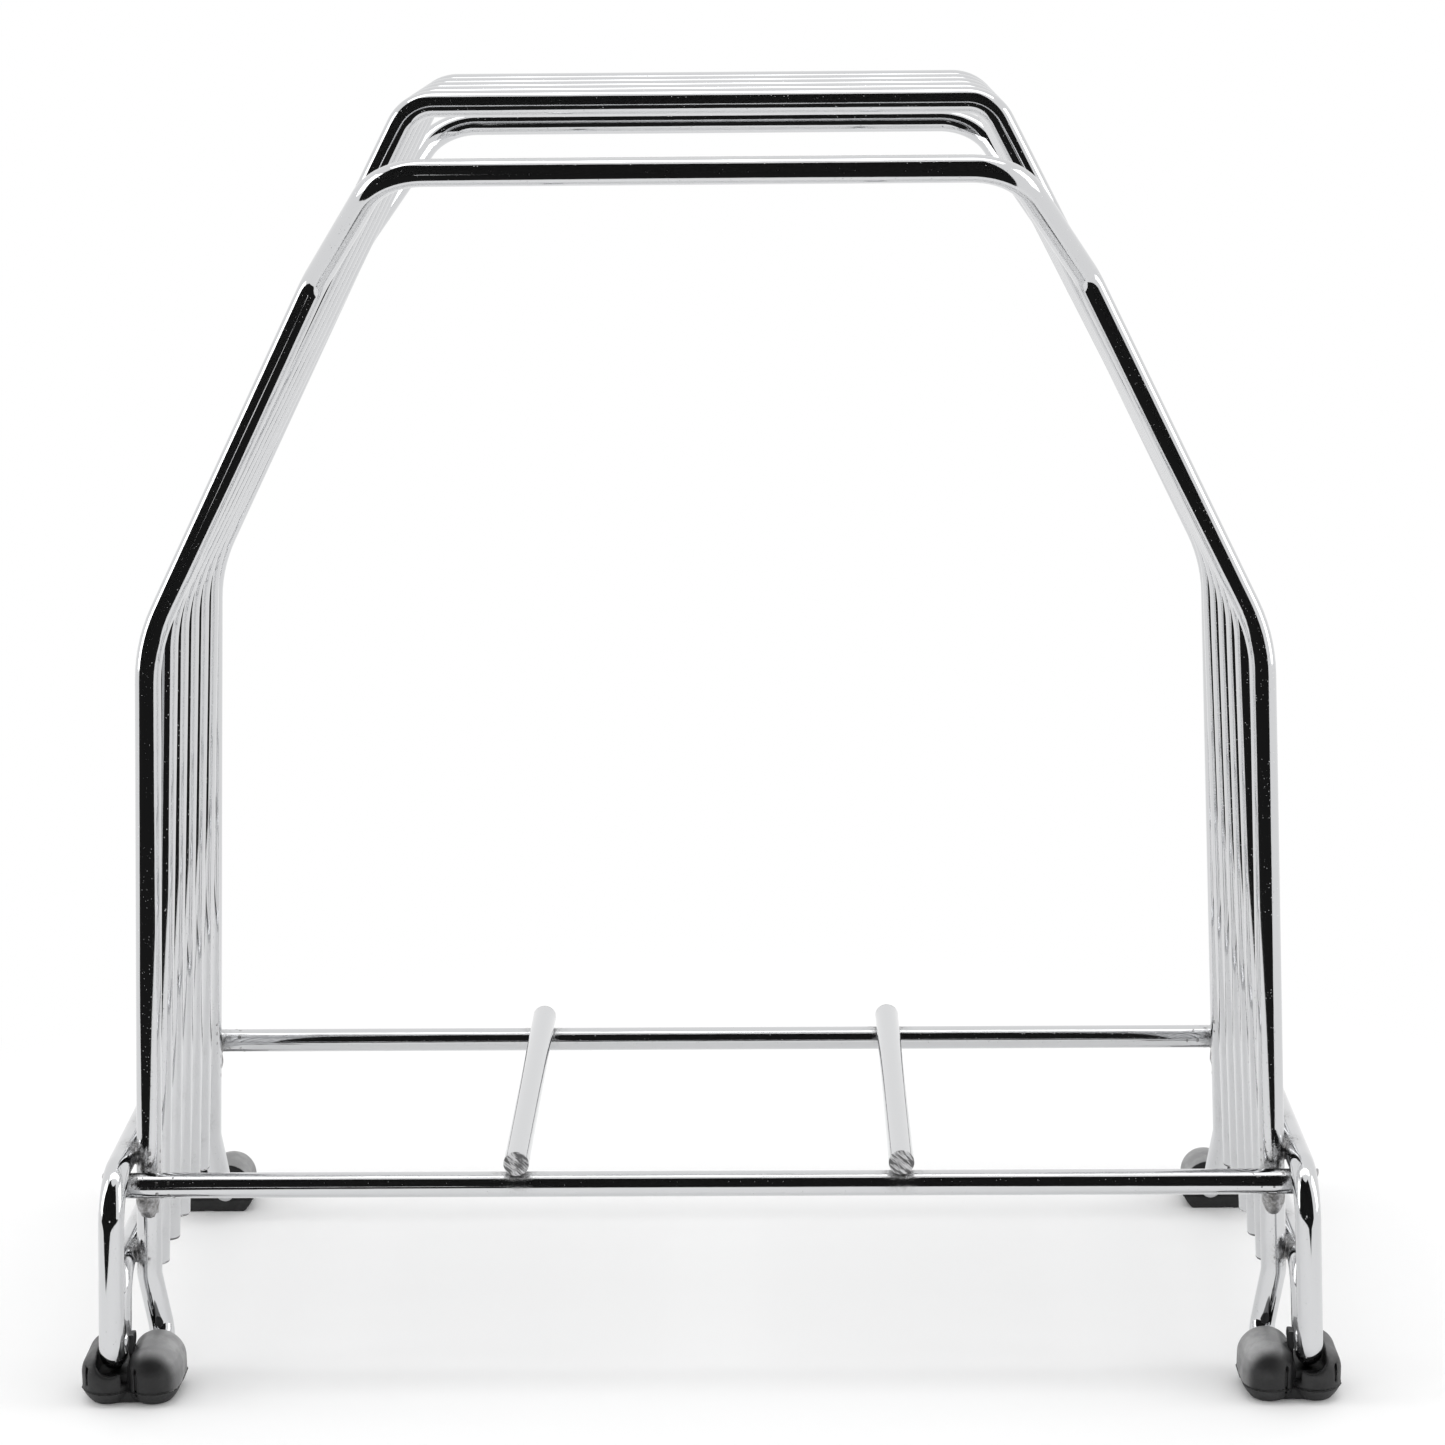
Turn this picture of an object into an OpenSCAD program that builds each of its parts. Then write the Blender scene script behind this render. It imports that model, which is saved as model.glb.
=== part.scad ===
// Wire file rack for a desk top: five divider arches stand between two end
// arches, all welded to two side loops. Two runners under the arches carry
// the bottom edges of the files. Four rubber shoes stand on the desk.
// X is the width, Y the depth from front to back, Z up from the desk.

/* [Wire] */
// Diameter of every wire
wire_d = 6; // [3:0.5:10]
// Depth two wires sink into each other where they are welded
weld_sink = 0.3; // [0:0.1:1]
// Bevel left on every sheared wire end
end_bevel = 0.5; // [0.1:0.1:1]
// Height of the faint ring the bending tool leaves at both ends of a bend
bend_mark = 0.02; // [0.01:0.01:0.1]
// Height of the ring of weld at the seam of a side loop
seam_bead = 0.2; // [0.05:0.05:0.6]

/* [Arches] */
// Distance from one arch to the next, which sets the width of a file slot
arch_pitch = 16; // [10:1:40]
// Half the distance between the two legs of an end arch, at the height of the runners
leg_half = 133.6; // [80:0.1:200]
// Lean of each end arch leg and of the side loops away from the middle, in degrees
leg_splay = 2.5; // [0:0.1:8]
// Bend radius where a leg turns into a slanted shoulder
knee_r = 40; // [10:1:80]

/* [Divider arches] */
// Distance a divider leg stands farther out than an end arch leg, at the height of the runners
divider_wider = 0.3; // [0:0.1:1]
// Lean of a divider leg beyond the lean of an end arch leg, in degrees
divider_extra_splay = 0.8; // [0:0.1:2]
// Height of the cut lower end of a divider leg
divider_foot_z = 21.3; // [10:0.1:60]
// Height of the bend between leg and shoulder
divider_knee_z = 184.2; // [100:0.1:300]
// Height of the level top
divider_top_z = 300.7; // [200:0.1:400]
// Half the length of the level top, measured to the sharp corner
divider_top_half = 65.7; // [30:0.1:100]
// Bend radius of the two top corners
divider_corner_r = 9; // [6:1:40]

/* [End arches] */
// Height of the bend between leg and shoulder
end_knee_z = 179.3; // [100:0.1:300]
// Height where the shoulder starts to lean out of the arch
lean_z = 262.2; // [200:0.1:350]
// Width of the shoulder at that height, as half the distance between its two sides
lean_half = 86.8; // [40:0.1:140]
// Height of the leaning top
end_top_z = 288.8; // [200:0.1:400]
// Half the length of the leaning top, measured to the sharp corner
end_top_half = 68.5; // [30:0.1:100]
// Distance the top stands out in front of its own legs
lean_out = 26.7; // [5:0.1:60]
// Bend radius where the shoulder starts to lean
lean_r = 8; // [4:0.5:20]
// Bend radius of the two top corners
end_corner_r = 15; // [6:1:40]
// Height of the small kink above the shoe
kink_z = 24.6; // [18:0.1:60]
// Bend radius of the kink
kink_r = 8; // [4:0.5:20]
// Distance the toe stands in towards the middle from the kink
toe_in = 3; // [0:0.1:10]
// Length of the toe from the plane of the arch to its tip
toe_len = 17.5; // [10:0.5:25]
// Bend radius from the leg into the toe
toe_r = 6; // [4:0.5:10]

/* [Side loops] */
// Height of the upper rail, the same as the runners
upper_rail_z = 54.8; // [40:0.1:100]
// Height of the lower rail
lower_rail_z = 29.8; // [20:0.1:60]
// Distance of the outer upright from the end arch
loop_outer = 19.5; // [12:0.5:40]
// Distance of the inner upright from the end arch
loop_inner = 9.5; // [7:0.5:20]
// Height of the foot of the loop, at the middle of the wire
loop_foot_z = 10.1; // [10:0.1:20]
// Bend radius of the two bends in the foot of the loop
foot_bend_r = 4.7; // [3.5:0.1:9]
// Bend radius at the ends of the upper rail
upper_bend_r = 11; // [6:0.5:20]
// Bend radius at the ends of the lower rail
lower_bend_r = 8; // [4:0.5:20]

/* [Cross wires and runners] */
// Distance a cross wire runs on past the middle of the upper rail above it
cross_past = 0.5; // [0:0.5:10]
// Half the distance between the two runners
runner_half = 45.5; // [20:0.5:100]
// Distance each runner stands out beyond the end arches
runner_overhang = 8; // [5:0.5:20]

/* [Shoes] */
// Height of the middle of each lobe above the desk
lobe_z = 7; // [5:0.5:12]
// Radius of the inner lobe, around the toe of the arch
inner_lobe_r = 6.3; // [4:0.1:12]
// Radius of the outer lobe, under the foot of the loop
outer_lobe_r = 6.1; // [4:0.1:12]
// Distance the middle of the outer lobe stands out beyond the foot of the loop
lobe_out = 1.5; // [0:0.1:4]
// Distance from the end arch to the middle of the rounded front of the shoe
lobe_front = 17.1; // [8:0.1:30]
// Distance from the end arch to the open back of the shoe
lobe_back = 7.2; // [0:0.1:12]
// Height of the moulding line round the shoe
parting_z = 3.5; // [1:0.5:6]
// Width of the bevel from the moulding line down to the sole
sole_bevel = 2.2; // [0.5:0.1:4]
// Height and width of the small lip along the moulding line
parting_lip = 0.3; // [0.1:0.1:1]
// Width of the slot that takes the foot of the loop
slot_w = 7; // [6.2:0.1:10]
// Width from front to back of the tongue beside the foot of the loop
tongue_w = 3.2; // [2:0.1:6]
// Thickness of the tongue
tongue_t = 1.2; // [0.8:0.1:3]
// Height of the top of the tongue
tongue_z = 15.5; // [8:0.5:20]
// Height of the front rim of the slot
rim_z = 7.5; // [6:0.5:12]
// Thickness of the front wall below the rim
rim_t = 1.6; // [1:0.1:4]
// Height of the floor of the pocket behind the front wall
pocket_z = 5; // [2:0.5:8]
// Length of the pocket, up to the rest under the loop
pocket_len = 2; // [1:0.1:6]

/* [Hidden] */
$fn = 48;
wire_r = wire_d / 2;
// Distance between the middles of two wires welded side by side
welded = wire_d - weld_sink;
end_y = 3 * arch_pitch;
cross_y = end_y + welded;
cross_z = upper_rail_z - welded;
loop_gap = welded / cos(leg_splay);
runner_y = end_y + runner_overhang;
ring_len = 0.3;
// Length of wire left out between a straight and a bend, inside the ring
ring_gap = 0.05;
divider_half = leg_half + divider_wider;
divider_splay = leg_splay + divider_extra_splay;
toe_x = leg_half + tan(leg_splay) * (upper_rail_z - kink_z) - toe_in;
foot_x = leg_half + tan(leg_splay) * (upper_rail_z - loop_foot_z) + loop_gap;
outer_lobe_x = foot_x + lobe_out;

// Where the middle of an end arch leg is, sideways, at height z
function leg_x(z) = leg_half + tan(leg_splay) * (upper_rail_z - z);
// Where the middle of a divider leg is, sideways, at height z
function divider_x(z) = divider_half + tan(divider_splay) * (upper_rail_z - z);
// Where the middle of a side loop is, sideways, at height z
function loop_x(z) = leg_x(z) + loop_gap;
// A path seen in a mirror across the middle of the rack, read backwards
function mirrored(path) = [for (i = [len(path) - 1 : -1 : 0]) [-path[i][0], path[i][1], path[i][2]]];
function reversed(list) = [for (i = [len(list) - 1 : -1 : 0]) list[i]];
// Direction from one point to another
function heading(from, to) = (to - from) / norm(to - from);
// Angle a wire turns through at a corner
function turn(before, corner, after) = acos(heading(before, corner) * heading(corner, after));
// Distance from a sharp corner back to the start of its bend
function setback(before, corner, after, radius) = radius * tan(turn(before, corner, after) / 2);

// A straight length of wire, with a bevel at each end that is a sheared end
module straight(from, to, from_bevel = 0, to_bevel = 0) {
    along = heading(from, to);
    length = norm(to - from);
    translate(from) rotate([0, acos(along[2]), atan2(along[1], along[0])]) {
        translate([0, 0, from_bevel]) cylinder(h = length - from_bevel - to_bevel, d = wire_d);
        if (from_bevel > 0) cylinder(h = from_bevel, d1 = wire_d - 2 * from_bevel, d2 = wire_d);
        if (to_bevel > 0) translate([0, 0, length - to_bevel])
            cylinder(h = to_bevel, d1 = wire_d, d2 = wire_d - 2 * to_bevel);
    }
}

// A thin ring round a wire that runs along Z
module ring(height, length) {
    cylinder(h = length, d = wire_d + 2 * height, center = true);
}

// The bend at one corner of a wire, with the marks of the bending tool
module bend(before, corner, after, radius) {
    along = heading(before, corner);
    leaving = heading(corner, after);
    inward = heading([0, 0, 0], leaving - (along * leaving) * along);
    start = corner - along * setback(before, corner, after, radius);
    middle = start + inward * radius;
    axis = cross(-inward, along);
    angle = turn(before, corner, after);
    multmatrix([
        [-inward[0], along[0], axis[0], middle[0]],
        [-inward[1], along[1], axis[1], middle[1]],
        [-inward[2], along[2], axis[2], middle[2]]
    ]) {
        rotate_extrude(angle = angle, $fn = 96) translate([radius, 0]) circle(d = wire_d);
        for (a = [0, angle])
            rotate([0, 0, a]) translate([radius, 0, 0]) rotate([90, 0, 0]) ring(bend_mark, ring_len);
    }
}

// A wire bent through a list of corners, one bend radius for each
module bent_wire(path, radii, bevel = 0) {
    last = len(path) - 1;
    for (i = [0 : last - 1]) {
        along = heading(path[i], path[i + 1]);
        from_cut = i == 0 ? 0 : ring_gap + setback(path[i - 1], path[i], path[i + 1], radii[i]);
        to_cut = i == last - 1 ? 0 : ring_gap + setback(path[i], path[i + 1], path[i + 2], radii[i + 1]);
        straight(
            path[i] + along * from_cut,
            path[i + 1] - along * to_cut,
            i == 0 ? bevel : 0,
            i == last - 1 ? bevel : 0
        );
    }
    for (i = [1 : last - 1]) bend(path[i - 1], path[i], path[i + 1], radii[i]);
}

// Arch number 1 is the one behind the front end arch
module divider_arch(number) {
    y = number * arch_pitch - end_y;
    right = [
        [divider_top_half, y, divider_top_z],
        [divider_x(divider_knee_z), y, divider_knee_z],
        [divider_x(divider_foot_z), y, divider_foot_z]
    ];
    radii = [divider_corner_r, knee_r, 0];
    color("silver") bent_wire(concat(mirrored(right), right), concat(reversed(radii), radii), end_bevel);
}

// Right half of the front end arch, from the leaning top to the tip of the toe
function end_arch_half() = [
    [end_top_half, -end_y - lean_out, end_top_z],
    [lean_half, -end_y, lean_z],
    [leg_x(end_knee_z), -end_y, end_knee_z],
    [leg_x(kink_z), -end_y, kink_z],
    [toe_x, -end_y, lobe_z],
    [toe_x, -end_y - toe_len, lobe_z]
];

module front_arch() {
    right = end_arch_half();
    radii = [end_corner_r, lean_r, knee_r, kink_r, toe_r, 0];
    color("silver") bent_wire(concat(mirrored(right), right), concat(reversed(radii), radii), end_bevel);
}

module rear_arch() {
    rotate([0, 0, 180]) front_arch();
}

// Front half of the right side loop, from the upper rail down and back to the lower rail
function loop_half() = [
    for (p = [
        [-end_y - loop_outer, upper_rail_z],
        [-end_y - loop_outer, loop_foot_z],
        [-end_y - loop_inner, loop_foot_z],
        [-end_y - loop_inner, lower_rail_z]
    ]) [loop_x(p[1]), p[0], p[1]]
];

// The loop is one wire whose two ends are butt welded at the middle of the upper rail
module right_side_loop() {
    front = loop_half();
    rear = [for (i = [len(front) - 1 : -1 : 0]) [front[i][0], -front[i][1], front[i][2]]];
    seam = [loop_x(upper_rail_z), 0, upper_rail_z];
    radii = [upper_bend_r, foot_bend_r, foot_bend_r, lower_bend_r];
    color("silver") {
        bent_wire(concat([seam], front, rear, [seam]), concat([0], radii, reversed(radii), [0]));
        translate(seam) rotate([90, 0, 0]) ring(seam_bead, 5 * ring_len);
    }
}

module left_side_loop() {
    mirror([1, 0, 0]) right_side_loop();
}

// The cross wire lies against the outer faces of the end arch legs, under both upper rails
module front_cross_wire() {
    end_x = loop_x(upper_rail_z) + cross_past;
    color("silver") straight([-end_x, -cross_y, cross_z], [end_x, -cross_y, cross_z], end_bevel, end_bevel);
}

module rear_cross_wire() {
    rotate([0, 0, 180]) front_cross_wire();
}

// The runner lies across the two cross wires, under the files
module right_runner() {
    color("silver") straight(
        [runner_half, -runner_y, upper_rail_z],
        [runner_half, runner_y, upper_rail_z],
        end_bevel,
        end_bevel
    );
}

module left_runner() {
    mirror([1, 0, 0]) right_runner();
}

// One lobe of a shoe: a tube end closed by a round front, on a bevelled sole
module lobe(x, radius) {
    translate([x, -end_y - lobe_front, 0]) {
        translate([0, 0, lobe_z]) sphere(r = radius);
        translate([0, 0, parting_z]) cylinder(h = lobe_z - parting_z, r = radius);
        translate([0, 0, parting_z - parting_lip]) cylinder(h = parting_lip, r = radius + parting_lip);
        cylinder(h = parting_z, r1 = radius - sole_bevel, r2 = radius);
        rotate([90, 0, 0]) translate([0, 0, lobe_back - lobe_front])
            linear_extrude(height = lobe_front - lobe_back) {
                translate([0, lobe_z]) circle(r = radius);
                translate([-radius, parting_z]) square([2 * radius, lobe_z - parting_z]);
                translate([-radius - parting_lip, parting_z - parting_lip])
                    square([2 * (radius + parting_lip), parting_lip]);
                polygon([
                    [-radius + sole_bevel, 0],
                    [radius - sole_bevel, 0],
                    [radius, parting_z],
                    [-radius, parting_z]
                ]);
            }
    }
}

// The flat web that closes the sole between the two lobes
module sole_web() {
    translate([toe_x, -end_y - lobe_front, 0])
        cube([outer_lobe_x - toe_x, lobe_front - lobe_back, parting_z]);
}

// The slot in the outer lobe, open at the top, with a deep pocket behind its front wall
module loop_slot() {
    slot_x = foot_x - slot_w / 2;
    front_y = -end_y - lobe_front - outer_lobe_r;
    rest_z = loop_foot_z - wire_r;
    translate([slot_x, front_y - 1, rim_z]) cube([slot_w, rim_t + 2, 2 * outer_lobe_r]);
    translate([slot_x, front_y + rim_t, pocket_z]) cube([slot_w, pocket_len, 2 * outer_lobe_r]);
    translate([slot_x, front_y + rim_t, rest_z]) cube([slot_w, lobe_front + outer_lobe_r, 2 * outer_lobe_r]);
}

// The part of the front arch that the shoe is pushed on to
module toe() {
    half = end_arch_half();
    bent_wire([half[3], half[4], half[5]], [0, toe_r, 0], end_bevel);
}

// The thin tongue that stands between the foot of the loop and the inner lobe
module tongue() {
    translate([foot_x - slot_w / 2 - tongue_t, -end_y - (loop_outer + loop_inner) / 2 - tongue_w / 2, parting_z])
        cube([tongue_t, tongue_w, tongue_z - parting_z]);
}

module front_right_shoe() {
    color([0.1, 0.1, 0.1]) {
        difference() {
            union() {
                lobe(toe_x, inner_lobe_r);
                lobe(outer_lobe_x, outer_lobe_r);
                sole_web();
            }
            toe();
            loop_slot();
        }
        tongue();
    }
}

module front_left_shoe() {
    mirror([1, 0, 0]) front_right_shoe();
}

module rear_left_shoe() {
    rotate([0, 0, 180]) front_right_shoe();
}

module rear_right_shoe() {
    rotate([0, 0, 180]) front_left_shoe();
}

front_arch();
divider_arch(1);  // divider_arch_1
divider_arch(2);  // divider_arch_2
divider_arch(3);  // divider_arch_3
divider_arch(4);  // divider_arch_4
divider_arch(5);  // divider_arch_5
rear_arch();
left_side_loop();
right_side_loop();
front_cross_wire();
rear_cross_wire();
left_runner();
right_runner();
front_left_shoe();
front_right_shoe();
rear_left_shoe();
rear_right_shoe();
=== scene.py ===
"""Looks of a chromed wire file rack with rubber shoes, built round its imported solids."""

import math

import bpy
import numpy as np
from bpy.props import FloatProperty, FloatVectorProperty, PointerProperty
from mathutils import Matrix, Vector, noise


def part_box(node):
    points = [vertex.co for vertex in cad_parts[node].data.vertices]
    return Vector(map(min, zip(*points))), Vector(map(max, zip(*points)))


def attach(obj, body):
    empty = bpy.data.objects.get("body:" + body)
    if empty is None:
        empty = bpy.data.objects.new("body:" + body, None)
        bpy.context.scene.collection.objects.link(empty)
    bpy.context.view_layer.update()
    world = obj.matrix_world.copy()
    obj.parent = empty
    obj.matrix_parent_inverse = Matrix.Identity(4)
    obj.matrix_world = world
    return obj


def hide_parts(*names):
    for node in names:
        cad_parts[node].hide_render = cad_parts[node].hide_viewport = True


bl_info = {
    "name": "Wire File Rack",
    "version": (1, 0, 0),
    "blender": (4, 5, 0),
    "location": "View3D > Sidebar > File Rack",
    "description": "Builds a chromed wire file rack with rubber shoes, and its studio",
    "category": "Object",
}

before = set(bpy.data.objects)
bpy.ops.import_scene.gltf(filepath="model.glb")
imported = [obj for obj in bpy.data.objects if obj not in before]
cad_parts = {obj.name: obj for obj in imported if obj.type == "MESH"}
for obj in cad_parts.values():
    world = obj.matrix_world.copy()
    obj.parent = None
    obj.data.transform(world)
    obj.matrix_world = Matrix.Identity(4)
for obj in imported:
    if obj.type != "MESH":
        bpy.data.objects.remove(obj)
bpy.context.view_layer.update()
BODY = "root"
DIVIDERS = 5
ARCHES = DIVIDERS + 2


def spot(node, axis, share):
    """A place on one axis of a node's box: share 0 is its low end and 1 its high end."""
    low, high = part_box(node)
    return low[axis] + (high[axis] - low[axis]) * share


WIRE = spot("divider_arch_3", 1, 1) - spot("divider_arch_3", 1, 0)


# Sizes and finishes that a user would change


def length(label, about, default):
    """A size in metres, shown in the panel."""
    return FloatProperty(name=label, description=about, default=default, min=0, precision=4, unit="LENGTH")


def fraction(label, about, default):
    """A number from 0 to 1, shown in the panel."""
    return FloatProperty(name=label, description=about, default=default, min=0, max=1, subtype="FACTOR")


def angle(label, about, default, **limits):
    """An angle in radians, which the panel shows in degrees."""
    return FloatProperty(name=label, description=about, default=default, subtype="ANGLE", **limits)


def watts(label, about, default):
    """The power of a lamp, shown in the panel."""
    return FloatProperty(name=label, description=about, default=default, min=0, unit="POWER")


def colour(label, about, default):
    """A colour, shown in the panel."""
    return FloatVectorProperty(name=label, description=about, default=default, min=0, max=1, size=3,
                               subtype="COLOR")


class RackSizes(bpy.types.PropertyGroup):
    """Sizes of the rack, in metres"""

    wire: length("Wire", "Diameter of every wire", WIRE)
    weld_sink: length("Weld Sink", "Depth two welded wires sink into each other", 0.0003)
    bevel: length("Sheared Bevel", "Bevel on a sheared wire end", 0.0005)
    pitch: length("Arch Pitch", "Distance from one arch to the next",
                  spot("divider_arch_4", 1, 0) - spot("divider_arch_3", 1, 0))
    leg_half: length("Leg Half Width", "Half the distance between the legs, at the runners", 0.1336)
    splay: angle("Leg Splay", "Lean of each leg away from the middle", math.radians(2.5), min=0)
    divider_leg: length("Divider Leg Half Width",
                        "Half the distance between a divider's legs, at the runners", 0.1339)
    divider_splay: angle("Divider Splay", "Lean of each divider leg away from the middle",
                         math.radians(3.3), min=0)
    knee_r: length("Knee Bend", "Bend radius between leg and shoulder", 0.04)
    divider_foot: length("Divider Foot", "Height of a divider's cut leg end", spot("divider_arch_3", 2, 0))
    divider_knee: length("Divider Knee", "Height of a divider's knee", 0.1842)
    divider_top: length("Divider Top", "Height of a divider's level top",
                        spot("divider_arch_3", 2, 1) - WIRE / 2)
    divider_half: length("Divider Top Half",
                         "Half the length of a divider's top, to the sharp corner", 0.0657)
    divider_corner_r: length("Divider Corner", "Bend radius of a divider's top corner", 0.009)
    end_knee: length("End Arch Knee", "Height of an end arch's knee", 0.1793)
    lean_z: length("Lean Height", "Height where an end arch starts to lean out", 0.2622)
    lean_half: length("Lean Half Width", "Half the width of an end arch at that height", 0.0868)
    end_top: length("End Arch Top", "Height of an end arch's top", spot("front_arch", 2, 1) - WIRE / 2)
    end_half: length("End Arch Top Half",
                     "Half the length of an end arch's top, to the sharp corner", 0.0685)
    lean_r: length("Lean Bend", "Bend radius where an end arch leans out", 0.008)
    end_corner_r: length("End Arch Corner", "Bend radius of an end arch's top corner", 0.015)
    kink_z: length("Kink Height", "Height of the kink above a shoe", 0.0246)
    kink_r: length("Kink Bend", "Bend radius of the kink", 0.008)
    toe_in: length("Toe Inset", "Distance a toe stands in from the kink", 0.003)
    toe_z: length("Toe Height", "Height of a toe", spot("front_arch", 2, 0) + WIRE / 2)
    toe_len: length("Toe Length", "Length of a toe from the plane of the arch", 0.0175)
    toe_r: length("Toe Bend", "Bend radius from leg to toe", 0.006)
    rail_z: length("Upper Rail", "Height of the upper rails and the runners", spot("left_runner", 2, 0.5))
    lower_rail_z: length("Lower Rail", "Height of the lower rails", 0.0298)
    loop_outer: length("Outer Upright", "Distance of a loop's outer upright from the end arch", 0.0195)
    loop_inner: length("Inner Upright", "Distance of a loop's inner upright from the end arch", 0.0095)
    loop_foot: length("Loop Foot", "Height of the foot of a loop",
                      spot("left_side_loop", 2, 0) + WIRE / 2)
    upper_bend_r: length("Upper Bend", "Bend radius at the ends of an upper rail", 0.011)
    lower_bend_r: length("Lower Bend", "Bend radius at the ends of a lower rail", 0.008)
    foot_bend_r: length("Foot Bend", "Bend radius in the foot of a loop", 0.0047)
    runner_half: length("Runner Half", "Half the distance between the runners",
                        spot("right_runner", 0, 0.5))
    runner_end: length("Runner End", "Distance of a runner's end from the middle",
                       spot("right_runner", 1, 1))
    cross_z: length("Cross Wire Height", "Height of the cross wires", spot("rear_cross_wire", 2, 0.5))
    cross_y: length("Cross Wire Place", "Distance of a cross wire from the middle",
                    spot("rear_cross_wire", 1, 0.5))
    cross_end: length("Cross Wire End", "Distance of a cross wire's end from the middle",
                      spot("rear_cross_wire", 0, 1))
    inner_lobe_r: length("Inner Lobe", "Radius of a shoe's inner lobe", 0.0063)
    outer_lobe_r: length("Outer Lobe", "Radius of a shoe's outer lobe", 0.0061)
    lobe_out: length("Outer Lobe Offset", "Distance of the outer lobe beyond the foot of the loop", 0.0015)
    lobe_front: length("Lobe Front", "Distance from the end arch to the round front of a shoe", 0.0171)
    lobe_back: length("Lobe Back", "Distance from the end arch to the open back of a shoe", 0.0072)
    parting_z: length("Moulding Line", "Height of the moulding line", 0.0035)
    sole_bevel: length("Sole Bevel", "Width of the bevel down to the sole", 0.0022)
    slot_w: length("Slot Width", "Width of the slot for the foot of the loop", 0.007)
    rim_z: length("Slot Rim", "Height of the front rim of the slot", 0.0075)
    rim_t: length("Rim Thickness", "Thickness of the front wall below the rim", 0.0016)
    pocket_z: length("Pocket Floor", "Height of the pocket's floor", 0.005)
    pocket_len: length("Pocket Length", "Length of the pocket behind the front wall", 0.002)
    tongue_w: length("Tongue Width", "Width of the tongue beside the foot of the loop", 0.0032)
    tongue_t: length("Tongue Thickness", "Thickness of that tongue", 0.0012)
    tongue_z: length("Tongue Height", "Height of the top of that tongue", 0.0155)


class RackFinish(bpy.types.PropertyGroup):
    """Colours and roughness of the rack's finishes"""

    chrome: colour("Chrome", "Colour of the bright plating", (0.635, 0.64, 0.65))
    tarnish: colour("Tarnish", "Colour of pits and of plating near a weld", (0.20, 0.195, 0.19))
    weld: colour("Weld Metal", "Colour of the plated weld beads", (0.50, 0.50, 0.51))
    sheared: colour("Sheared Steel", "Colour of the cut wire ends", (0.11, 0.11, 0.112))
    rubber: colour("Rubber", "Colour of the moulded shoes", (0.009, 0.009, 0.0095))
    dust: colour("Rubber Bloom", "Colour of the pale bloom on the rubber", (0.030, 0.030, 0.031))
    # Painted sheen: the pale colour put on the rubber's tops and inner flank in place of the light from
    # above
    painted_sheen: colour("Painted Top Sheen", "Colour painted on the rubber's tops and inner flank as a sheen of light", (0.36, 0.36, 0.363))
    gloss: fraction("Plating Roughness", "Roughness of clean plating", 0.045)
    rubber_roughness: fraction("Rubber Roughness", "Roughness of the rubber", 0.42)
    floor: colour("Floor", "Colour of the floor", (0.97, 0.97, 0.97))


class RackStudio(bpy.types.PropertyGroup):
    """Camera, lamps and surroundings"""

    lens: FloatProperty(name="Lens", description="Focal length of the camera", default=89.347, min=1,
                        subtype="DISTANCE_CAMERA")
    camera: FloatVectorProperty(name="Camera", description="Place of the camera",
                                default=(0.01603, -0.85393, 0.35419), size=3, subtype="TRANSLATION")
    down: angle("Look Down", "Angle the camera looks down", 0.2364)
    aside: angle("Look Aside", "Angle the camera looks to the left", 0.0148)
    roll: angle("Roll", "Roll of the camera", -0.0091)
    key: watts("Overhead Power", "Power of the overhead lamp", 3.0)
    side: watts("Side Power", "Power of each side lamp", 3.0)
    sky: FloatProperty(name="Surroundings", description="Level of the pale surroundings", default=0.88,
                       min=0)


# Shader maths


# The colour sockets of a Mix node, which share their names with its number sockets
MIX_FIRST, MIX_SECOND, MIX_RESULT = 6, 7, 2


class Value:
    """What a socket gives. Where that is a number, plain sums can use it."""

    def __init__(self, shades, socket):
        self.shades, self.socket = shades, socket

    def maths(self, operation, first, second=None, clamp=False):
        values = {0: first} if second is None else {0: first, 1: second}
        return self.shades.node("ShaderNodeMath", {"operation": operation, "use_clamp": clamp}, values)

    def __add__(self, other):
        return self.maths("ADD", self, other)

    __radd__ = __add__

    def __sub__(self, other):
        return self.maths("SUBTRACT", self, other)

    def __rsub__(self, other):
        return self.maths("SUBTRACT", other, self)

    def __mul__(self, other):
        return self.maths("MULTIPLY", self, other)

    __rmul__ = __mul__

    def __abs__(self):
        return self.maths("ABSOLUTE", self)

    def clamped(self):
        return self.maths("ADD", self, 0.0, clamp=True)

    def between(self, low, high):
        """0 below low, 1 above high, and smooth between them."""
        return self.shades.node(
            "ShaderNodeMapRange", {"interpolation_type": "SMOOTHSTEP"},
            {"Value": self, "From Min": low, "From Max": high})


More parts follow.
